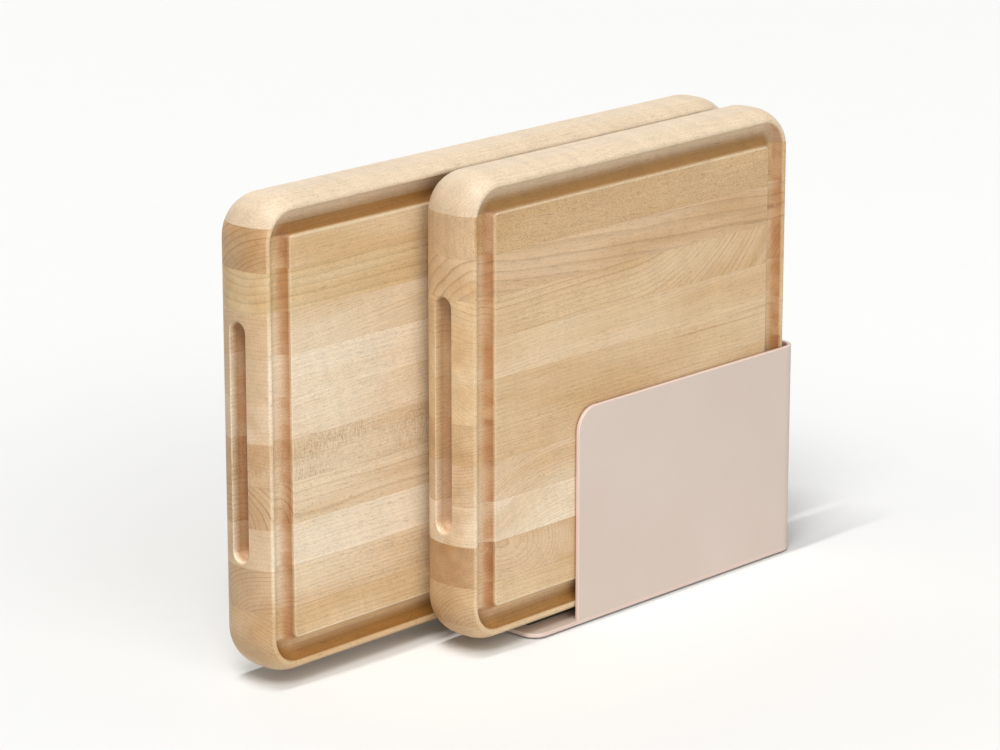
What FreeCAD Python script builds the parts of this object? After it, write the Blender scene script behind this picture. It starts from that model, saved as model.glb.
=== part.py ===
import FreeCAD, Part
import math
import os

# Two edge-glued butcher-block cutting boards that stand side by side, on their long edges, in a low
# holder of welded sheet metal. Millimetres, +Z up. X runs along the boards towards the holder's
# closed end and Y from the front board to the rear one. The origin is under the middle of the whole
# thing, on the plane that its feet rest on.

V = FreeCAD.Vector
X_AXIS = V(1, 0, 0)
Y_AXIS = V(0, 1, 0)
Z_AXIS = V(0, 0, 1)

# ---- driving dimensions ----------------------------------------------------------------------

# both boards
board_thickness = 38.0
board_height = 286.0
outline_radius = 26.0           # corners of the board's outline
stave_count = 12

# each board's own length, and the heights of its glue joints above its lower edge
front_length = 293.0
front_first_joint = 13.1
front_joint_pitch = 25.06
rear_length = 413.0
rear_first_joint = 16.4
rear_joint_pitch = 25.34
board_gap = 8.5                 # between the two boards

# a board's edge, across its thickness: flat wall, large arc, small arc, flat face
wall_depth = 15.5               # from the face down to the flat wall
large_arc_radius = 24.0
small_arc_radius = 2.5

# juice groove in each board's front face
groove_radius = 7.94
groove_depth = 5.6
groove_inset = 7.7              # from the board's outline to the groove
groove_field_ease = 1.0         # rounding where the groove meets the field inside it
groove_rim_ease = 0.6           # rounding where it meets the rim outside it

# finger slot in each end of a board
slot_radius = 6.4               # of its round bottom and round ends
slot_depth = 11.0
slot_length = 144.0
slot_middle = 141.5              # height of its middle above the board's lower edge
slot_ease = 1.5                 # rounding of the slot's mouth
slot_set_back = 2.0             # from the middle of the thickness, away from the juice groove

# holder
sheet = 2.5
side_clearance = 1.0            # between a board and the panel beside it
end_clearance = 3.1             # between the boards and the closed end
panel_length = 206.4
panel_height = 133.9
panel_corner_radius = 15.0
bend_radius = 10.5              # outside of the two upright bends
tongue_length = 38.4            # how far the base plate runs on past the panels
tongue_corner_radius = 10.0
sheet_ease = 0.5                # rounding of the sheet's cut edges
divider_length = 168.0
divider_height = 96.0

# what the boards and the holder rest on
rest_width = 12.0
rest_thickness = 2.8
rest_end_margin = 12.0
rest_air = 0.3                  # left between a board and its rest, as slide clearance
foot_radius = 8.0
foot_height = 1.2
foot_inset = 17.0               # from the base plate's sides to a foot's centre

# ---- places worked out from them -------------------------------------------------------------

holder_depth = board_gap + 2 * (board_thickness + side_clearance + sheet)
overall_length = rear_length + end_clearance + sheet

x_end_outer = overall_length / 2
x_end_inner = x_end_outer - sheet
x_board_right = x_end_inner - end_clearance
x_panel_left = x_end_outer - panel_length
x_tongue_left = x_panel_left - tongue_length

y_holder_front = -holder_depth / 2
y_holder_back = holder_depth / 2
y_front_board = y_holder_front + sheet + side_clearance
y_rear_board = y_front_board + board_thickness + board_gap

z_base = foot_height
z_base_top = z_base + sheet
z_rest_top = z_base_top + rest_thickness
z_board = z_rest_top + rest_air

TINY = 0.01


# ---- small helpers ---------------------------------------------------------------------------

def box(x0, x1, y0, y1, z0, z1):
    return Part.makeBox(x1 - x0, y1 - y0, z1 - z0, V(x0, y0, z0))


def line(a, b):
    return Part.LineSegment(a, b).toShape()


def arc(a, middle, b):
    return Part.Arc(a, middle, b).toShape()


def arc_between(centre, a, b):
    """The shorter arc from a to b about centre, all in one plane."""
    radius = (a - centre).Length
    half_way = (a - centre) + (b - centre)
    half_way.normalize()
    return arc(a, centre + half_way * radius, b)


def face_of(edges):
    return Part.Face(Part.Wire(edges))


def save(name, shape):
    if not shape.isValid():
        raise ValueError(name + " is not a valid solid")
    shape.exportStep("parts/" + name + ".step")


# ---- a cutting board -------------------------------------------------------------------------

def edge_section():
    """Section across a board's edge, from its outer wall in to where the outline's corners are
    centred. x is the distance in from the outline, z the depth below the front face."""
    def at(inset, depth):
        return V(inset, 0, depth)

    thickness = board_thickness

    # the two arcs are tangent to each other, the large one to the wall and the small one to the face
    centre_gap = large_arc_radius - small_arc_radius
    rise = wall_depth - small_arc_radius
    small_inset = large_arc_radius - math.sqrt(centre_gap ** 2 - rise ** 2)
    large_centre = at(large_arc_radius, wall_depth)
    small_centre = at(small_inset, small_arc_radius)
    outwards = small_centre - large_centre
    outwards.normalize()
    meet = large_centre + outwards * large_arc_radius
    front_wall = at(0, wall_depth)
    front_flat = at(small_inset, 0)

    # groove, with a small rounding at both of its edges
    lift = groove_radius - groove_depth
    half_width = math.sqrt(groove_radius ** 2 - lift ** 2)
    groove_centre = at(groove_inset + half_width, -lift)

    def eased_edge(ease, side):
        """Where a rounding meets the groove and the face; side is -1 at the rim, +1 at the field."""
        reach = math.sqrt((groove_radius + ease) ** 2 - (lift + ease) ** 2)
        centre = groove_centre + at(side * reach, lift + ease)
        towards = centre - groove_centre
        towards.normalize()
        return centre, groove_centre + towards * groove_radius, at(centre.x, 0)

    rim_centre, rim_low, rim_high = eased_edge(groove_rim_ease, -1)
    field_centre, field_low, field_high = eased_edge(groove_field_ease, 1)
    groove_bottom = groove_centre + at(0, groove_radius)

    def mirrored(point):
        return at(point.x, thickness - point.z)

    back_wall = mirrored(front_wall)
    back_meet = mirrored(meet)
    back_flat = mirrored(front_flat)
    edges = [
        line(back_wall, front_wall),
        arc_between(large_centre, front_wall, meet),
        arc_between(small_centre, meet, front_flat),
        line(front_flat, rim_high),
        arc_between(rim_centre, rim_high, rim_low),
        arc(rim_low, groove_bottom, field_low),
        arc_between(field_centre, field_low, field_high),
        line(field_high, at(outline_radius, 0)),
        line(at(outline_radius, 0), at(outline_radius, thickness)),
        line(at(outline_radius, thickness), back_flat),
        arc_between(mirrored(small_centre), back_flat, back_meet),
        arc_between(mirrored(large_centre), back_meet, back_wall),
    ]
    return face_of(edges)


def slot_cutter(x_mouth, inwards, y_middle, z_middle):
    """Tool for a finger slot: a round-bottomed groove along Z, with round ends and an eased mouth.
    inwards is +1 where the board lies on the mouth's +X side, else -1."""
    def at(depth, across):
        return V(x_mouth + inwards * depth, y_middle + across, z_middle)

    outside = at(-1, 0)
    outside_edge = at(-1, slot_radius + slot_ease)
    mouth = at(0, slot_radius + slot_ease)
    neck = at(slot_ease, slot_radius)
    straight_end = at(slot_depth - slot_radius, slot_radius)
    bottom = at(slot_depth, 0)
    half = [
        line(outside, outside_edge),
        line(outside_edge, mouth),
        arc_between(at(slot_ease, slot_radius + slot_ease), mouth, neck),
        line(neck, straight_end),
        arc_between(at(slot_depth - slot_radius, 0), straight_end, bottom),
        line(bottom, outside),
    ]
    half_face = face_of(half)
    half_run = slot_length / 2 - slot_radius
    down = V(0, 0, -half_run)
    up = V(0, 0, half_run)
    near_run = half_face.translated(down).extrude(V(0, 0, 2 * half_run))
    far_run = near_run.mirror(V(x_mouth, y_middle, z_middle), Y_AXIS)
    lower_end = half_face.translated(down).revolve(at(0, 0) + down, X_AXIS, 360)
    upper_end = half_face.translated(up).revolve(at(0, 0) + up, X_AXIS, 360)
    return near_run.multiFuse([far_run, lower_end, upper_end])


def make_board(x0, x1, y_face):
    """One whole board, standing on its long edge with its grooved face at y_face."""
    z0 = z_board
    z1 = z_board + board_height
    y_back = y_face + board_thickness
    section = edge_section()
    inset = outline_radius
    x_run = x1 - x0 - 2 * inset
    z_run = z1 - z0 - 2 * inset

    # lay the section down pointing right, its depth along Y, then turn it about the outline
    upright = section.copy()
    upright.rotate(V(0, 0, 0), X_AXIS, -90)

    def placed(turn, x, z):
        piece = upright.copy()
        piece.rotate(V(0, 0, 0), Y_AXIS, turn)
        piece.translate(V(x, y_face, z))
        return piece

    # each side: the section's turn about Y, where it starts, the way it runs, the corner it ends at
    sides = [
        (0, V(x0, 0, z0 + inset), V(0, 0, z_run), V(x0 + inset, y_face, z1 - inset)),
        (90, V(x0 + inset, 0, z1), V(x_run, 0, 0), V(x1 - inset, y_face, z1 - inset)),
        (180, V(x1, 0, z1 - inset), V(0, 0, -z_run), V(x1 - inset, y_face, z0 + inset)),
        (270, V(x1 - inset, 0, z0), V(-x_run, 0, 0), V(x0 + inset, y_face, z0 + inset)),
    ]
    pieces = []
    for turn, start, run, corner in sides:
        face = placed(turn, start.x, start.z)
        pieces.append(face.extrude(run))
        far_face = face.translated(run)
        pieces.append(far_face.revolve(corner, Y_AXIS, 90))
    core = box(x0 + inset, x1 - inset, y_face, y_back, z0 + inset, z1 - inset)
    board = core.multiFuse(pieces).removeSplitter()

    y_middle = y_face + board_thickness / 2 + slot_set_back
    z_middle = z0 + slot_middle
    left_slot = slot_cutter(x0, 1, y_middle, z_middle)
    right_slot = slot_cutter(x1, -1, y_middle, z_middle)
    return board.cut([left_slot, right_slot])


def save_staves(prefix, board, x0, x1, y_face, first_joint, joint_pitch):
    """Split a board at its glue joints and save one file for each stave, lowest first."""
    heights = [-1.0]
    for number in range(stave_count - 1):
        heights.append(first_joint + number * joint_pitch)
    heights.append(board_height + 1.0)
    for number in range(stave_count):
        slab = box(x0 - 1, x1 + 1, y_face - 1, y_face + board_thickness + 1,
                   z_board + heights[number], z_board + heights[number + 1])
        stave = board.common(slab)
        save(f"{prefix}_stave_{number + 1:02d}", stave)


# ---- holder ----------------------------------------------------------------------------------

def rounded_plan(x0, x1, y0, y1, left_radius, right_radius):
    """Flat outline in the XY plane, with one radius at its two left corners and one at its right."""
    def corner(x, y, radius, x_side, y_side):
        centre = V(x - x_side * radius, y - y_side * radius, 0)
        return centre, centre + V(x_side * radius, 0, 0), centre + V(0, y_side * radius, 0)

    front_right, fr_side, fr_front = corner(x1, y0, right_radius, 1, -1)
    back_right, br_side, br_back = corner(x1, y1, right_radius, 1, 1)
    if left_radius == 0:
        return face_of([
            line(V(x0, y0, 0), fr_front),
            arc_between(front_right, fr_front, fr_side),
            line(fr_side, br_side),
            arc_between(back_right, br_side, br_back),
            line(br_back, V(x0, y1, 0)),
            line(V(x0, y1, 0), V(x0, y0, 0)),
        ])
    front_left, fl_side, fl_front = corner(x0, y0, left_radius, -1, -1)
    back_left, bl_side, bl_back = corner(x0, y1, left_radius, -1, 1)
    return face_of([
        line(fl_front, fr_front),
        arc_between(front_right, fr_front, fr_side),
        line(fr_side, br_side),
        arc_between(back_right, br_side, br_back),
        line(br_back, bl_back),
        arc_between(back_left, bl_back, bl_side),
        line(bl_side, fl_side),
        arc_between(front_left, fl_side, fl_front),
    ])


def edges_at_height(shape, z):
    """Every edge that lies wholly at height z."""
    chosen = []
    for edge in shape.Edges:
        bounds = edge.BoundBox
        if abs(bounds.ZMin - z) < TINY and abs(bounds.ZMax - z) < TINY:
            chosen.append(edge)
    return chosen


def make_base_plate():
    """Flat plate under everything. Its tongue, past the panels, is eased above as well as below."""
    plan = rounded_plan(x_tongue_left, x_end_outer, y_holder_front, y_holder_back,
                        tongue_corner_radius, bend_radius)
    plate = plan.translated(V(0, 0, z_base)).extrude(V(0, 0, sheet))
    bottom_eased = plate.makeFillet(sheet_ease, edges_at_height(plate, z_base))
    both = edges_at_height(plate, z_base) + edges_at_height(plate, z_base_top)
    all_eased = plate.makeFillet(sheet_ease, both)
    y_low = y_holder_front - 1
    y_high = y_holder_back + 1
    tongue = all_eased.common(box(x_tongue_left - 1, x_panel_left, y_low, y_high, 0, z_base_top + 1))
    rest = bottom_eased.common(box(x_panel_left, x_end_outer + 1, y_low, y_high, 0, z_base_top + 1))
    return tongue.fuse(rest).removeSplitter()


def side_outline(x0, x1, z0, z1, y):
    """Upright outline of a panel, square except for its rounded upper left corner."""
    radius = panel_corner_radius
    centre = V(x0 + radius, y, z1 - radius)
    return face_of([
        line(V(x0, y, z0), V(x0, y, z1 - radius)),
        arc_between(centre, V(x0, y, z1 - radius), V(x0 + radius, y, z1)),
        line(V(x0 + radius, y, z1), V(x1, y, z1)),
        line(V(x1, y, z1), V(x1, y, z0)),
        line(V(x1, y, z0), V(x0, y, z0)),
    ])


def cut_edges(shape, x_left, z_top):
    """The edges that a sheet's shears left: its left ends, its rounded corners and its top."""
    radius = panel_corner_radius
    chosen = []
    for edge in shape.Edges:
        bounds = edge.BoundBox
        through = abs(bounds.YMax - bounds.YMin - sheet) < TINY and bounds.ZMax - bounds.ZMin < TINY
        at_left = bounds.XMax < x_left + TINY
        at_top = bounds.ZMin > z_top - TINY
        at_corner = bounds.XMax < x_left + radius + TINY and bounds.ZMin > z_top - radius - TINY
        if (at_left or at_top or at_corner) and not through:
            chosen.append(edge)
    return chosen


def make_wall_wrap():
    """Front panel, end wall and back panel, bent from one sheet that stands on the base plate."""
    outer = rounded_plan(x_panel_left, x_end_outer, y_holder_front, y_holder_back, 0, bend_radius)
    inner = rounded_plan(x_panel_left - 1, x_end_inner, y_holder_front + sheet, y_holder_back - sheet,
                         0, bend_radius - sheet)
    plan = outer.cut(inner)
    wrap = plan.translated(V(0, 0, z_base_top)).extrude(V(0, 0, panel_height))
    outline = side_outline(x_panel_left, x_end_outer + 1, z_base_top, z_base_top + panel_height,
                           y_holder_front - 1)
    wrap = wrap.common(outline.extrude(V(0, holder_depth + 2, 0)))
    wrap = wrap.Solids[0]
    return wrap.makeFillet(sheet_ease, cut_edges(wrap, x_panel_left, z_base_top + panel_height))


def make_divider():
    """Upright sheet that keeps the boards apart, welded to the base plate and the end wall."""
    x_left = x_end_inner - divider_length
    z_top = z_base_top + divider_height
    outline = side_outline(x_left, x_end_inner, z_base_top, z_top, -sheet / 2)
    divider = outline.extrude(V(0, sheet, 0))
    return divider.makeFillet(sheet_ease, cut_edges(divider, x_left, z_top))


def make_rest(y_middle):
    """Soft strip that a board stands and slides on."""
    return box(x_tongue_left + rest_end_margin, x_end_inner - rest_end_margin,
               y_middle - rest_width / 2, y_middle + rest_width / 2, z_base_top, z_rest_top)


def make_foot(x, y):
    """Thin round foot, stuck under the base plate."""
    return Part.makeCylinder(foot_radius, foot_height, V(x, y, 0), Z_AXIS)


# ---- the assembly ----------------------------------------------------------------------------

os.makedirs("parts", exist_ok=True)

boards = [
    ("front", front_length, y_front_board, front_first_joint, front_joint_pitch),
    ("rear", rear_length, y_rear_board, rear_first_joint, rear_joint_pitch),
]
for prefix, length, y_face, first_joint, joint_pitch in boards:
    x_left = x_board_right - length
    whole = make_board(x_left, x_board_right, y_face)
    save_staves(prefix, whole, x_left, x_board_right, y_face, first_joint, joint_pitch)
    save(prefix + "_rest_strip", make_rest(y_face + board_thickness / 2))

save("base_plate", make_base_plate())
save("wall_wrap", make_wall_wrap())
save("divider", make_divider())

x_feet = {"left": x_tongue_left + foot_inset, "right": x_end_outer - foot_inset}
y_feet = {"front": y_holder_front + foot_inset, "back": y_holder_back - foot_inset}
for side, x in x_feet.items():
    for row, y in y_feet.items():
        save(f"foot_{row}_{side}", make_foot(x, y))
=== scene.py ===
import bpy
import bmesh
import math
from mathutils import Matrix, Vector

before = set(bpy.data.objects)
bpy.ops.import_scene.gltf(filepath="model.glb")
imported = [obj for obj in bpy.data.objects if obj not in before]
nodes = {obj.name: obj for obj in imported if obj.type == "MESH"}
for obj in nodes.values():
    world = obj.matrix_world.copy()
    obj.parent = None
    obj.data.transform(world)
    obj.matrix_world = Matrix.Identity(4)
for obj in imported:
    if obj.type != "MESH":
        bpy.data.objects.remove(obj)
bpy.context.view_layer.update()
print("boards and holder loaded:", len(nodes), "pieces")

mmPerMetre = 1000.0
noiseSteps = (7.31, 3.17, 5.53)     # how far apart two seeds look into the same noise
lineStep = 11.3
plainWhite = (1.0, 1.0, 1.0, 1.0)


def toneOf(code):
    # sRGB hex code to the linear colour that a socket wants
    parts = [int(code[i:i + 2], 16) / 255 for i in (0, 2, 4)]
    return [c / 12.92 if c <= 0.04045 else ((c + 0.055) / 1.055) ** 2.4 for c in parts] + [1.0]


class Wire:
    # a node's output; sums on wires add Math nodes to the same tree
    def __init__(self, tree, socket=None):
        self.tree = tree
        self.socket = socket

    def node(self, kind, settings=None, inputs=None, output=0):
        made = self.tree.nodes.new(kind)
        for setting, value in (settings or {}).items():
            setattr(made, setting, value)
        for slot, value in (inputs or {}).items():
            if isinstance(value, Wire):
                self.tree.links.new(value.socket, made.inputs[slot])
            else:
                made.inputs[slot].default_value = value
        return Wire(self.tree, made.outputs[output] if len(made.outputs) else None)

    def math(self, operation, *values):
        return self.node("ShaderNodeMath", {"operation": operation}, dict(enumerate(values)))

    def __add__(self, other):
        return self.math("ADD", self, other)

    def __radd__(self, other):
        return self.math("ADD", other, self)

    def __sub__(self, other):
        return self.math("SUBTRACT", self, other)

    def __rsub__(self, other):
        return self.math("SUBTRACT", other, self)

    def __mul__(self, other):
        return self.math("MULTIPLY", self, other)

    def __rmul__(self, other):
        return self.math("MULTIPLY", other, self)

    def __truediv__(self, other):
        return self.math("DIVIDE", self, other)

    def root(self):
        return self.math("SQRT", self)

    def atLeast(self, low):
        return self.math("MAXIMUM", self, low)

    def size(self):
        return self.math("ABSOLUTE", self)

    def fade(self, low, high):
        # 0 below low, 1 above high, smooth between
        return self.node("ShaderNodeMapRange", {"interpolation_type": "SMOOTHSTEP"},
                         {"Value": self, "From Min": low, "From Max": high, "To Min": 0.0, "To Max": 1.0})

    def between(self, first, second):
        # a colour that runs from the first to the second as this goes from 0 to 1
        return self.node("ShaderNodeMix", {"data_type": "RGBA"}, {0: self, 6: first, 7: second}, 2)

    def tinted(self, colour, amount, blend="MULTIPLY"):
        # this colour, with another multiplied or mixed in by amount
        return self.node("ShaderNodeMix", {"data_type": "RGBA", "blend_type": blend, "clamp_factor": True},
                         {0: amount, 6: self, 7: colour}, 2)

    def vector(self, operation, *values, output=0):
        return self.node("ShaderNodeVectorMath", {"operation": operation}, dict(enumerate(values)), output)

    def scaled(self, amount):
        return self.node("ShaderNodeVectorMath", {"operation": "SCALE"}, {0: self, "Scale": amount})

    def parts(self):
        split = self.tree.nodes.new("ShaderNodeSeparateXYZ")
        self.tree.links.new(self.socket, split.inputs[0])
        return [Wire(self.tree, out) for out in split.outputs]

    def joined(self, x, y, z):
        return self.node("ShaderNodeCombineXYZ", {}, {0: x, 1: y, 2: z})

    def noise(self, stretch, seed, detail=2.0, roughness=0.5, output=0):
        # stretch is in features to the millimetre along x, y and z
        where = self.vector("MULTIPLY_ADD", self, stretch, [seed * step for step in noiseSteps])
        return self.node("ShaderNodeTexNoise", {"noise_dimensions": "3D"},
                         {"Vector": where, "Scale": 1.0, "Detail": detail, "Roughness": roughness}, output)

    def lineNoise(self, seed):
        return self.node("ShaderNodeTexNoise", {"noise_dimensions": "1D"},
                         {"W": self + seed * lineStep, "Scale": 1.0, "Detail": 1.0})

    def place(self):
        # where a point of the piece is, in mm in the model's own frame
        metres = self.node("ShaderNodeTexCoord", {}, {}, 3)
        return metres.vector("MULTIPLY", metres, (mmPerMetre,) * 3)

    def facing(self):
        return self.node("ShaderNodeNewGeometry", {}, {}, 1).parts()


def newFinish(name):
    finish = bpy.data.materials.new(name)
    finish.use_nodes = True
    finish.node_tree.nodes.clear()
    return finish, Wire(finish.node_tree)


def closeFinish(start, colour, roughness, height, settings):
    # the surface shader every finish ends in
    bump = start.node("ShaderNodeBump", {}, {"Strength": settings["bumpStrength"],
                                             "Distance": settings["bumpDepth"], "Height": height})
    surface = start.node("ShaderNodeBsdfPrincipled", {},
                         {"Base Color": colour, "Roughness": roughness, "Normal": bump,
                          "Specular IOR Level": settings["gloss"]})
    start.node("ShaderNodeOutputMaterial", {}, {"Surface": surface})


def giveFinish(node, finish):
    for slot in nodes[node].material_slots:
        slot.material = finish


# the maple's own tones, what its end grain does to them, and tints for grain, oil and glue, for painted shade
# in the grooves and slots and for a painted highlight on the field's edge
maple = {
    "ivory": "dcc7aa", "cream": "ecdabf", "sand": "e4ceae", "straw": "e0c6a0",
    "honey": "dcc098", "rose": "dabd98", "amber": "d0af82", "wheat": "ddc399",
}
endGrain = {"pale": "f3efeb", "plain": "e6dcd4", "warm": "e1d2c2", "dark": "d8c8b7"}
tints = {
    "late": "c39c74", "deep": "eedfca", "streak": "a9835f", "fleck": "ab8460", "oilAndShade": "cfa883",
    "paintedGrooveShadow": "b89a68", "slot": "c9b487", "glue": "cda77f", "lipHighlight": "f0e2c8",
}

# how maple is figured: stretches are in features to the mm along, through and up the stave
figure = {
    "warp": (0.007, 0.03, 0.03), "streaks": (0.03, 0.9, 0.9), "pores": (0.55, 2.3, 2.3),
    "grit": (1.0, 2.6, 2.6), "flecks": (0.12, 1.5, 1.5), "longStreaks": (0.005, 0.3, 0.3),
    "boardPatches": (0.006, 0.028, 0.028), "stavePatches": (0.006, 0.06, 0.06), "boardShare": 0.6,
    "mottle": (0.02, 0.1, 0.1), "curl": (0.13, 0.02, 0.018), "curlTilt": 0.035,
    "laceLines": (1.3, 0.8, 0.22), "laceDots": (1.6, 1.6, 1.2), "lacePatches": (0.02, 0.05, 0.05),
    "blots": (0.03, 0.05, 0.07),
    # where each noise or mask begins and where it is full
    "poreEdge": (0.52, 0.74), "fleckEdge": (0.62, 0.74), "streakEdge": (0.63, 0.74),
    "laceEdge": (0.46, 0.68), "dotEdge": (0.45, 0.65), "lacePatchEdge": (0.35, 0.6),
    "blotEdge": (0.3, 0.7), "endEdge": (0.35, 0.95),
    # late wood: its share of a ring, how uneven the rings are, and what breaks its line up
    "lateRise": (0.68, 0.92), "lateFall": (0.94, 1.0), "lateLeast": 0.2,
    "ringDrift": 0.16, "ringSpread": 1.6, "ringStep": 1.7, "byStreaks": 1.2, "byPores": 1.7, "unbroken": 0.75,
    # colour patches: the noise level at which they begin and are full, and how far "mix" lowers it
    "patchStart": 0.58, "patchFull": 0.88, "patchMix": 0.4,
    "lineShare": 0.7, "dotShare": 0.45, "patchShare": 0.6,
}
# one stave: where its tree's heart lay and how its grain leans, in mm from the stave's middle
mapleLook = {
    "tone": "straw", "mix": 0.45,
    "heart": (0.0, -60.0), "lean": (0.0, 0.0), "sweep": (0.0, 0.0, 1), "dish": (0.0, 0.0),
    "ring": 2.4, "late": 0.35, "endLate": 0.2, "warp": 5.0,
    "fibre": 0.16, "grit": 0.32, "pores": 0.46, "fleck": 0.3, "curl": 0.07,
    "lace": 0.0, "streak": 0.0, "band": 0.05, "end": "plain", "endTone": None,
}
woodSurface = {
    "bumpStrength": 0.4, "bumpDepth": 0.0003, "gloss": 0.4,
    "roughness": 0.44, "roughFibre": 0.16, "roughLate": 0.06, "roughEnd": 0.07,
    "highFibre": 0.5, "lowLate": 0.5, "lowPores": 0.35, "highGrit": 0.4,
}
# both boards, in mm: their halves, their machined edges, and the oil, painted shade and painted highlight put
# on these
bothBoards = {
    "middleZ": 149.8, "halfY": 19.0, "halfZ": 143.0, "lowZ": 6.8, "corner": 22.0,
    "grooveReach": 7.0, "grooveRim": (-0.8, 0.0), "grooveSteps": (0.7, 1.8), "grooveFloor": (6.6, 7.6),
    "grooveOilAndShade": 0.9, "evenOilAndShade": 0.1, "steepSide": (-0.05, 0.6), "shadowedSide": (-0.75, 0.4),
    "shadowedRun": (-1.5, 0.5),
    "slotBack": 2.0, "slotReach": 73.0, "slotHalf": 6.2, "slotMouth": (1.5, 6.0), "slotWall": (0.0, 0.5),
    "slotEnd": (0.0, 2.0), "blotLeast": 0.5,
    "fieldEdge": 22.9, "lipMiddle": 0.45, "lipWidth": (0.35, 0.8), "lipDepth": (0.3, 0.9),
    "lipTurn": (-0.5, 0.5), "lipLong": 0.28, "lipShort": 0.1,
    "glue": 0.12, "glueWidth": (-0.5, -0.12),
}


def ringLines(grain, radius, look, seed):
    # growth rings: how far each point is through its ring, and a broken line of late wood at its end
    drift = (radius * (figure["ringDrift"] / look["ring"])).lineNoise(seed) * figure["ringSpread"]
    count = radius / look["ring"] + drift
    ring = count.math("FRACT", count)
    strength = count.node("ShaderNodeTexWhiteNoise", {"noise_dimensions": "1D"},
                          {"W": count.math("FLOOR", count) + seed * figure["ringStep"]})
    streaks = grain.noise(figure["streaks"], seed + 1, 3.0, 0.65)
    pores = grain.noise(figure["pores"], seed + 3, 2.0, 0.7)
    late = ring.fade(*figure["lateRise"]) * (1.0 - ring.fade(*figure["lateFall"]))
    late = late * (strength * (1.0 - figure["lateLeast"]) + figure["lateLeast"])
    broken = streaks * figure["byStreaks"] + pores * figure["byPores"] - figure["unbroken"]
    return ring, late * broken.atLeast(0.0), streaks, pores


def lacyFigure(wood, log, look, seed):
    lines = log.noise(figure["laceLines"], seed + 6, 2.0, 0.6).fade(*figure["laceEdge"])
    dots = log.noise(figure["laceDots"], seed + 7, 1.0).fade(*figure["dotEdge"])
    where = log.noise(figure["lacePatches"], seed + 8, 1.0).fade(*figure["lacePatchEdge"])
    where = where * figure["patchShare"] + (1.0 - figure["patchShare"])
    lace = (lines * figure["lineShare"] + dots * figure["dotShare"]) * where * look["lace"]
    return wood.tinted(toneOf(tints["fleck"]), lace)


def machinedEdges(wood, log, facing, board, middleZ, seed):
    # the groove's steep walls and the finger slots get painted shade in blots, partly end grain that drinks
    # more oil and partly the shade of the recess; the grooves along the top and bottom get a painted shadow
    x, y, z = log.parts()
    depth = y + board["halfY"]
    height = (z + (middleZ - board["middleZ"])).size()
    pastX = (x.size() - (board["halfX"] - board["corner"])).atLeast(0.0)
    aboveRun = height - (board["halfZ"] - board["corner"])
    pastZ = aboveRun.atLeast(0.0)
    outward = (pastX * pastX + pastZ * pastZ).root() - (board["corner"] - board["grooveReach"])
    inGroove = depth.fade(*board["grooveSteps"]) * (1.0 - depth.fade(*board["grooveFloor"]))
    inGroove = inGroove * (1.0 - outward.fade(*board["grooveRim"]))
    paintedGrooveShadow = facing[2].fade(*board["shadowedSide"]) * aboveRun.fade(*board["shadowedRun"])
    steep = (facing[0] * -1.0).fade(*board["steepSide"])
    blots = log.noise(figure["blots"], seed + 11, 2.0).fade(*figure["blotEdge"])
    blots = blots * (1.0 - board["blotLeast"]) + board["blotLeast"]
    insideX = board["halfX"] - x.size()
    insideZ = board["halfZ"] - height
    fromSlot = (y - board["slotBack"]).size() - board["slotHalf"]
    inSlot = insideX.fade(*board["slotMouth"]) * (1.0 - fromSlot.fade(*board["slotWall"]))
    inSlot = inSlot * (1.0 - (height - board["slotReach"]).fade(*board["slotEnd"]))
    # painted shade: the whole groove is darkened and its walls facing -X most, partly real end grain that
    # drinks oil and partly the shade of the recess
    oilAndShade = inGroove * (steep * blots + board["evenOilAndShade"]) * board["grooveOilAndShade"]
    wood = wood.tinted(toneOf(tints["oilAndShade"]), oilAndShade + inSlot * blots * board["slotOilAndShade"])
    # painted shade inside the finger slots, between the oil blots
    wood = wood.tinted(toneOf(tints["slot"]), inSlot * (1.0 - blots))
    # painted shadow in the grooves along the top and bottom edges, strongest on the walls that face up
    wood = wood.tinted(toneOf(tints["paintedGrooveShadow"]), inGroove * paintedGrooveShadow)

    # painted highlight: the field's edge is made paler, more along its long top and bottom runs than along its
    # short sides
    fromEdge = x.math("MINIMUM", insideX, insideZ) - board["fieldEdge"] - board["lipMiddle"]
    lipHighlight = (1.0 - fromEdge.size().fade(*board["lipWidth"])) * (1.0 - depth.fade(*board["lipDepth"]))
    lipHighlight = lipHighlight * ((insideX - insideZ).fade(*board["lipTurn"]) * board["lipLong"] + board["lipShort"])
    return wood.tinted(toneOf(tints["lipHighlight"]), lipHighlight, "MIX")


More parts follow.
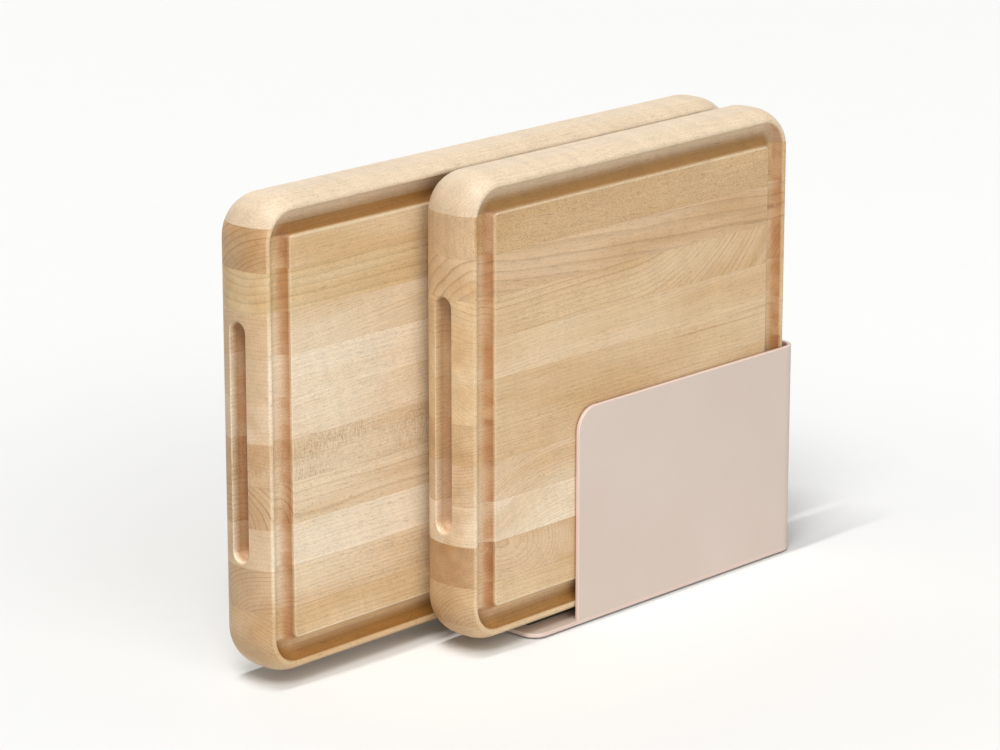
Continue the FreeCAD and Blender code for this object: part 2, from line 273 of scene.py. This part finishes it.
def staveWood(name, board, middleZ, halfZ, look, seed):
    look = {**mapleLook, "mottle": board["mottle"], **look}
    finish, start = newFinish(name)
    place = start.place()
    log = place.vector("SUBTRACT", place, (board["middleX"], board["middleY"], middleZ))
    x, y, z = log.parts()

    # the grain as the tree grew it: distance from its heart, bent by lean, sweep and a slow warp
    warp = log.noise(figure["warp"], seed, 2.0, output=1).parts()
    sweepX, sweepBend, side = look["sweep"]
    rise = x * look["lean"][1]
    if sweepBend:
        past = ((x - sweepX) * side).atLeast(0.0)
        rise = rise + past * past * sweepBend
    growY = y - look["heart"][0] - x * look["lean"][0] + (warp[0] - 0.5) * look["warp"]
    if look["dish"][1]:
        dish = x - look["dish"][0]
        growY = growY - dish * dish * look["dish"][1]
    growZ = z - look["heart"][1] - rise + (warp[1] - 0.5) * look["warp"]
    radius = (growY * growY + growZ * growZ).root()
    grain = log.joined(x, growY, growZ)
    ring, late, streaks, pores = ringLines(grain, radius, look, seed)
    facing = start.facing()
    onEnd = facing[0].size().fade(*figure["endEdge"])
    lateAmount = late * (onEnd * (look["endLate"] - look["late"]) + look["late"])

    # fine fibre, grit, light bands across the grain and a mottled end shade the stave
    grit = grain.noise(figure["grit"], seed + 10, 1.0, 0.6)
    curlX, curlY, curlZ = figure["curl"]
    curl = log.joined(x * curlX + z * figure["curlTilt"], y * curlY, z * curlZ)
    curl = curl.noise((1.0, 1.0, 1.0), seed + 4, 2.0, 0.45)
    mottle = place.noise(figure["mottle"], seed + 12, 2.0, 0.6)
    shade = 1.0 + (streaks - 0.5) * look["fibre"] * 2.0 + (curl - 0.5) * look["curl"] * 2.0
    shade = shade + (grit - 0.5) * look["grit"] - ring * ring * look["band"]
    shade = shade + (mottle - 0.5) * onEnd * look["mottle"]

    # tone patches, some shared by the whole board; then late wood, pores, flecks and streaks
    patches = place.noise(figure["boardPatches"], board["seed"] + 2, 2.0) * figure["boardShare"]
    patches = patches + grain.noise(figure["stavePatches"], seed + 2, 2.0) * (1.0 - figure["boardShare"])
    base = toneOf(maple[look["tone"]])
    deep = [c * d for c, d in zip(base, toneOf(tints["deep"]))]
    lower = figure["patchMix"] * look["mix"]
    wood = patches.fade(figure["patchStart"] - lower, figure["patchFull"] - lower).between(base, deep)
    if look["endTone"]:
        wood = wood.tinted(toneOf(maple[look["endTone"]]), onEnd, "MIX")
    dark = pores.fade(*figure["poreEdge"])
    fleck = grain.noise(figure["flecks"], seed + 9, 1.0).fade(*figure["fleckEdge"])
    wood = wood.tinted(toneOf(tints["late"]), lateAmount)
    wood = wood.tinted(toneOf(tints["fleck"]), dark * look["pores"])
    wood = wood.tinted(toneOf(tints["fleck"]), fleck * look["fleck"])
    if look["streak"]:
        streak = grain.noise(figure["longStreaks"], seed + 5, 1.0).fade(*figure["streakEdge"])
        wood = wood.tinted(toneOf(tints["streak"]), streak * (1.0 - onEnd) * look["streak"])
    if look["lace"]:
        wood = lacyFigure(wood, log, look, seed)

    # end grain drinks more oil, and a thin line of glue shows along each joint
    wood = wood.tinted(toneOf(endGrain[look["end"]]), onEnd)
    wood = machinedEdges(wood, log, facing, board, middleZ, seed)
    glue = (z.size() - halfZ).fade(*board["glueWidth"]) * board["glue"]
    wood = wood.tinted(toneOf(tints["glue"]), glue).scaled(shade)

    surface = woodSurface
    relief = streaks * surface["highFibre"] - lateAmount * surface["lowLate"]
    relief = relief - dark * surface["lowPores"] + grit * surface["highGrit"]
    roughness = surface["roughness"] + (streaks - 0.5) * surface["roughFibre"]
    roughness = roughness + late * surface["roughLate"] + onEnd * surface["roughEnd"]
    closeFinish(start, wood, roughness, relief, surface)
    return finish


def dressBoard(board, staves):
    for number, look in enumerate(staves, 1):
        belowJoint = 0 if number == 1 else board["firstJoint"] + board["pitch"] * (number - 2)
        lowZ = board["lowZ"] + belowJoint
        highZ = board["lowZ"] + board["firstJoint"] + board["pitch"] * (number - 1)
        finish = staveWood(f"{board['name']}Stave{number:02d}Maple", board,
                           (lowZ + highZ) / 2, (highZ - lowZ) / 2, look, board["seed"] + number)
        giveFinish(f"{board['name']}_stave_{number:02d}", finish)


frontBoard = {
    **bothBoards, "name": "front", "seed": 10, "middleX": 57.2, "middleY": -23.25, "halfX": 146.5,
    "firstJoint": 13.1, "pitch": 25.06, "slotOilAndShade": 0.6, "mottle": 0.36,
}
frontStaves = [
    {"heart": (-24, -40), "ring": 2.2, "endLate": 0.5},
    {"tone": "honey", "heart": (-24, -26), "ring": 2.1, "curl": 0.12, "late": 0.4, "endLate": 0.65},
    {"tone": "rose", "heart": (-3, -5), "dish": (-119, 0.006), "lean": (0, -0.12), "ring": 1.5,
     "late": 0.4, "endLate": 0.5, "warp": 7, "end": "dark"},
    {"tone": "cream", "heart": (10, -60), "sweep": (-55, -0.0036, -1), "ring": 1.9,
     "late": 0.25, "curl": 0.13, "endLate": 0.4, "end": "pale"},
    {"tone": "sand", "heart": (-5, -70), "sweep": (-60, -0.0034, -1), "ring": 2.0, "late": 0.35,
     "endLate": 0.55},
    {"tone": "honey", "heart": (-35, -70), "lean": (0, 0.02), "ring": 1.8, "late": 0.35,
     "endLate": 0.4},
    {"tone": "honey", "heart": (20, -60), "ring": 2.3, "late": 0.25, "pores": 0.35,
     "streak": 0.25, "end": "pale"},
    {"tone": "straw", "heart": (0, -90), "lean": (0, 0.04), "ring": 2.0, "late": 0.18,
     "pores": 0.32, "end": "pale"},
    {"tone": "honey", "heart": (10, -70), "lean": (0, 0.03), "sweep": (-3, 0.0044, 1), "ring": 3.2,
     "late": 0.5, "endLate": 0.4, "warp": 6, "end": "pale"},
    {"tone": "rose", "heart": (-42, -56), "lean": (0, -0.05), "sweep": (-19, 0.0006, -1), "ring": 6.5,
     "late": 0.3, "streak": 0.4, "band": 0.11, "grit": 0.2, "warp": 9, "endLate": 0.6, "end": "pale"},
    {"tone": "amber", "heart": (-200, 0), "ring": 6.0, "late": 0.1, "endLate": 0.1, "pores": 0.6,
     "grit": 1.0, "curl": 0.06, "end": "warm", "endTone": "sand"},
    {"tone": "ivory", "mix": 0.0, "heart": (2, 2), "ring": 2.0, "late": 0.1, "endLate": 0.3,
     "band": 0.02, "curl": 0.13, "warp": 8, "end": "pale"},
]
rearBoard = {
    **bothBoards, "name": "rear", "seed": 40, "middleX": -2.8, "middleY": 23.25, "halfX": 206.5,
    "firstJoint": 16.4, "pitch": 25.34, "slotOilAndShade": 0.95, "mottle": 0.22,
}
rearStaves = [
    {"heart": (20, -70), "ring": 2.4},
    {"heart": (8, -38), "ring": 2.4, "curl": 0.13, "late": 0.35, "endLate": 0.35},
    {"tone": "sand", "heart": (-18, -34), "ring": 2.6, "late": 0.45, "endLate": 0.7, "warp": 2.5,
     "end": "dark"},
    {"tone": "cream", "mix": 0.25, "heart": (0, -120), "ring": 3.0, "late": 0.12, "endLate": 0.12,
     "curl": 0.1, "end": "warm"},
    {"tone": "sand", "heart": (10, -17), "ring": 3.0, "late": 0.4, "endLate": 1.0, "streak": 0.3,
     "end": "dark"},
    {"tone": "sand", "heart": (0, -90), "ring": 2.2, "late": 0.1, "lace": 0.5, "end": "warm"},
    {"tone": "cream", "heart": (-20, -60), "lean": (0, 0.05), "ring": 2.2, "late": 0.2, "end": "plain"},
    {"tone": "cream", "mix": 0.25, "heart": (-10, -70), "ring": 2.6, "late": 0.15, "curl": 0.12,
     "end": "dark"},
    {"tone": "sand", "heart": (-10, -80), "lean": (0, 0.09), "ring": 2.2, "late": 0.2,
     "pores": 0.32, "end": "warm"},
    {"tone": "wheat", "heart": (-5, 60), "ring": 5.0, "late": 0.35, "band": 0.12, "endLate": 0.35,
     "end": "pale"},
    {"tone": "straw", "heart": (-30, -50), "lean": (0, 0.02), "ring": 3.2, "late": 0.2,
     "endLate": 0.8, "mottle": 0.5, "end": "dark"},
    {"tone": "ivory", "mix": 0.0, "heart": (-8, 2), "ring": 2.0, "late": 0.1, "endLate": 0.25,
     "band": 0.02, "curl": 0.13, "warp": 8, "end": "pale"},
]
dressBoard(frontBoard, frontStaves)
dressBoard(rearBoard, rearStaves)
print("24 staves finished")

# powder coat on the holder; left, top and corner are those of the front panel, in mm
holderCoat = {
    "colour": "d5c5b9", "second": "d2c1b4", "edge": "e4cbbf",
    "bumpStrength": 0.18, "bumpDepth": 0.0001, "gloss": 0.45,
    "left": 2.9, "top": 137.6, "corner": 15.0, "rim": (0.9, 0.2), "edgeOn": (0.9, 0.99), "edgeShare": 0.8,
    "peel": (0.9, 0.9, 0.9), "speck": (2.6, 2.6, 2.6), "cloud": (0.012, 0.012, 0.012), "cloudEdge": (0.3, 0.7),
    "peelShade": 0.05, "speckShade": 0.07, "roughness": 0.52, "roughPeel": 0.12, "roughSpeck": 0.08,
    "speckHeight": 0.35,
}


def coatFinish(name, coat, outlined):
    finish, start = newFinish(name)
    place = start.place()
    x, y, z = place.parts()
    peel = place.noise(coat["peel"], 3.0, 2.0)
    speck = place.noise(coat["speck"], 5.0, 1.0)
    cloud = place.noise(coat["cloud"], 7.0, 2.0).fade(*coat["cloudEdge"])
    colour = cloud.between(toneOf(coat["colour"]), toneOf(coat["second"]))
    if outlined:
        # painted highlight and painted warm bounce: the panel's cut left and top edges and rounded corner are
        # made paler and pinker
        fromX = (coat["left"] + coat["corner"] - x).atLeast(0.0)
        fromZ = (z - coat["top"] + coat["corner"]).atLeast(0.0)
        outer, inner = coat["rim"]
        rim = (fromX * fromX + fromZ * fromZ).root().fade(coat["corner"] - outer, coat["corner"] - inner)
    else:
        # painted highlight on the plate's and divider's eased edges, paler and pinker where the surface turns
        rim = (1.0 - start.facing()[2].size().fade(*coat["edgeOn"])) * coat["edgeShare"]
    colour = colour.tinted(toneOf(coat["edge"]), rim * coat["edgeShare"], "MIX")
    shade = 1.0 + (speck - 0.5) * coat["speckShade"] + (peel - 0.5) * coat["peelShade"]
    roughness = coat["roughness"] + (peel - 0.5) * coat["roughPeel"] + (speck - 0.5) * coat["roughSpeck"]
    closeFinish(start, colour.scaled(shade), roughness, peel + speck * coat["speckHeight"], coat)
    return finish


giveFinish("wall_wrap", coatFinish("panelPowderCoat", holderCoat, True))
plateCoat = coatFinish("platePowderCoat", holderCoat, False)
giveFinish("base_plate", plateCoat)
giveFinish("divider", plateCoat)

# dark rubber of the feet and of the strips that the boards stand on
rubber = {
    "colour": "2b2927", "dusty": "3d3a37", "bumpStrength": 0.3, "bumpDepth": 0.0001, "gloss": 0.3,
    "grit": (1.6, 1.6, 1.6), "dust": (0.15, 0.15, 0.15), "dustEdge": (0.35, 0.75), "dustShare": 0.6,
    "roughness": 0.72, "roughGrit": 0.2,
}


def rubberFinish(name, rubber):
    finish, start = newFinish(name)
    place = start.place()
    grit = place.noise(rubber["grit"], 2.0, 3.0)
    dust = place.noise(rubber["dust"], 4.0, 2.0).fade(*rubber["dustEdge"]) * rubber["dustShare"]
    colour = dust.between(toneOf(rubber["colour"]), toneOf(rubber["dusty"]))
    closeFinish(start, colour, rubber["roughness"] + (grit - 0.5) * rubber["roughGrit"], grit, rubber)
    return finish


rubberBlack = rubberFinish("darkRubber", rubber)
for node in nodes:
    if node.startswith("foot_") or node.endswith("_rest_strip"):
        giveFinish(node, rubberBlack)
print("holder and rubber finished")

# the room: levels are over pi, ways are the direction that the light travels
studio = {
    "sky": 0.13, "white": 0.975, "whiteTone": (1.0, 1.0, 0.985, 1.0), "lookAt": (0.0, 0.0, 0.14),
    # level, way, distance, and the lamp's width and depth, in metres
    "panels": {"overheadStrip": (0.41, (0.235, -0.017, -0.972), 24.0, 8.4, 0.45),
               "leftFrontFill": (0.365, (0.56, 0.83, -0.06), 1.7, 1.2, 1.0)},
    # level, way, and the width of the sun's disc in degrees
    "suns": {"leftSoft": (0.54, (0.47, 0.31, -0.82), 26.0),
             "frontSoft": (0.19, (0.20, 0.82, -0.54), 44.0),
             "backSoft": (0.10, (-0.35, -0.75, -0.56), 50.0)},
}
# the floor's sheet of paper: how pale it is to light and to the eye, and where it gets paler, in mm
floorPaper = {
    "colour": 0.7, "seen": 0.795, "farLift": 0.082, "far": (150.0, 750.0), "metres": 8.0,
    "first": (1.0, 1.0, 0.985, 1.0), "second": (0.99, 0.99, 0.975, 1.0), "fleck": (0.06, 0.06, 0.06),
    "roughness": 0.9,
}


def facingWay(way):
    # a lamp shines along -Z; its width runs along the boards
    back = -Vector(way).normalized()
    side = (Vector((1.0, 0.0, 0.0)) - back * back.x).normalized()
    return Matrix((side, back.cross(side), back)).transposed().to_euler()


def seenOrMirrored(start):
    # 1 for what the camera, a gloss or a glass sees directly
    rays = start.tree.nodes.new("ShaderNodeLightPath")
    camera, gloss, glass = (Wire(start.tree, rays.outputs[name]) for name in
                            ("Is Camera Ray", "Is Glossy Ray", "Is Transmission Ray"))
    return camera.math("MAXIMUM", camera.math("MAXIMUM", camera, gloss), glass)


def makeSky(studio):
    world = bpy.data.worlds.new("studioSky")
    bpy.context.scene.world = world
    world.use_nodes = True
    world.node_tree.nodes.clear()
    start = Wire(world.node_tree)
    light = start.node("ShaderNodeBackground", {}, {"Color": plainWhite, "Strength": studio["sky"]})
    shown = start.node("ShaderNodeBackground", {}, {"Color": studio["whiteTone"], "Strength": studio["white"]})
    both = start.node("ShaderNodeMixShader", {}, {0: seenOrMirrored(start), 1: light, 2: shown})
    start.node("ShaderNodeOutputWorld", {}, {"Surface": both})


def hangLamp(name, light, way):
    lamp = bpy.data.objects.new(name, light)
    lamp.rotation_euler = facingWay(way)
    bpy.context.scene.collection.objects.link(lamp)
    return lamp


def hangLamps(studio):
    for name, (level, way, away, width, depth) in studio["panels"].items():
        bar = bpy.data.lights.new(name, "AREA")
        bar.shape = "RECTANGLE"
        bar.size, bar.size_y = width, depth
        bar.energy = level * (math.pi * away) ** 2
        hangLamp(name, bar, way).location = Vector(studio["lookAt"]) - Vector(way) * away
    for name, (level, way, width) in studio["suns"].items():
        sun = bpy.data.lights.new(name, "SUN")
        sun.energy = level * math.pi
        sun.angle = math.radians(width)
        hangLamp(name, sun, way)


def layFloor(paper):
    finish, start = newFinish("studioFloorPaper")
    place = start.place()
    fleck = place.noise(paper["fleck"], 1.0, 2.0)
    far = place.vector("LENGTH", place, output=1).fade(*paper["far"])
    seen = seenOrMirrored(start)
    level = seen * (far * paper["farLift"] + (paper["seen"] - paper["colour"])) + paper["colour"]
    tone = fleck.between(paper["first"], paper["second"]).scaled(level)
    surface = start.node("ShaderNodeBsdfPrincipled", {},
                         {"Base Color": tone, "Roughness": paper["roughness"], "Specular IOR Level": 0.0})
    start.node("ShaderNodeOutputMaterial", {}, {"Surface": surface})
    sheet = bmesh.new()
    bmesh.ops.create_grid(sheet, x_segments=8, y_segments=8, size=paper["metres"])
    paperMesh = bpy.data.meshes.new("studioFloor")
    sheet.to_mesh(paperMesh)
    sheet.free()
    paperMesh.materials.append(finish)
    floor = bpy.data.objects.new("studioFloor", paperMesh)
    bpy.context.scene.collection.objects.link(floor)


makeSky(studio)
hangLamps(studio)
layFloor(floorPaper)
print("studio lit")

# metres and degrees; the tilt is down from level, the turn is clockwise from +Y
boardView = {
    "place": (-1.68271, -1.57479, 0.80569), "tilt": 15.859, "turn": 46.5925,
    "lens": 142.447, "sensor": 36.0, "farthest": 30.0,
}
camera = bpy.data.cameras.new("boardView")
camera.lens = boardView["lens"]
camera.sensor_width = boardView["sensor"]
camera.clip_end = boardView["farthest"]
viewer = bpy.data.objects.new("boardView", camera)
viewer.location = boardView["place"]
viewer.rotation_euler = (math.radians(90 - boardView["tilt"]), 0.0, -math.radians(boardView["turn"]))
bpy.context.scene.collection.objects.link(viewer)
bpy.context.scene.camera = viewer
bpy.context.scene.view_settings.view_transform = "Standard"
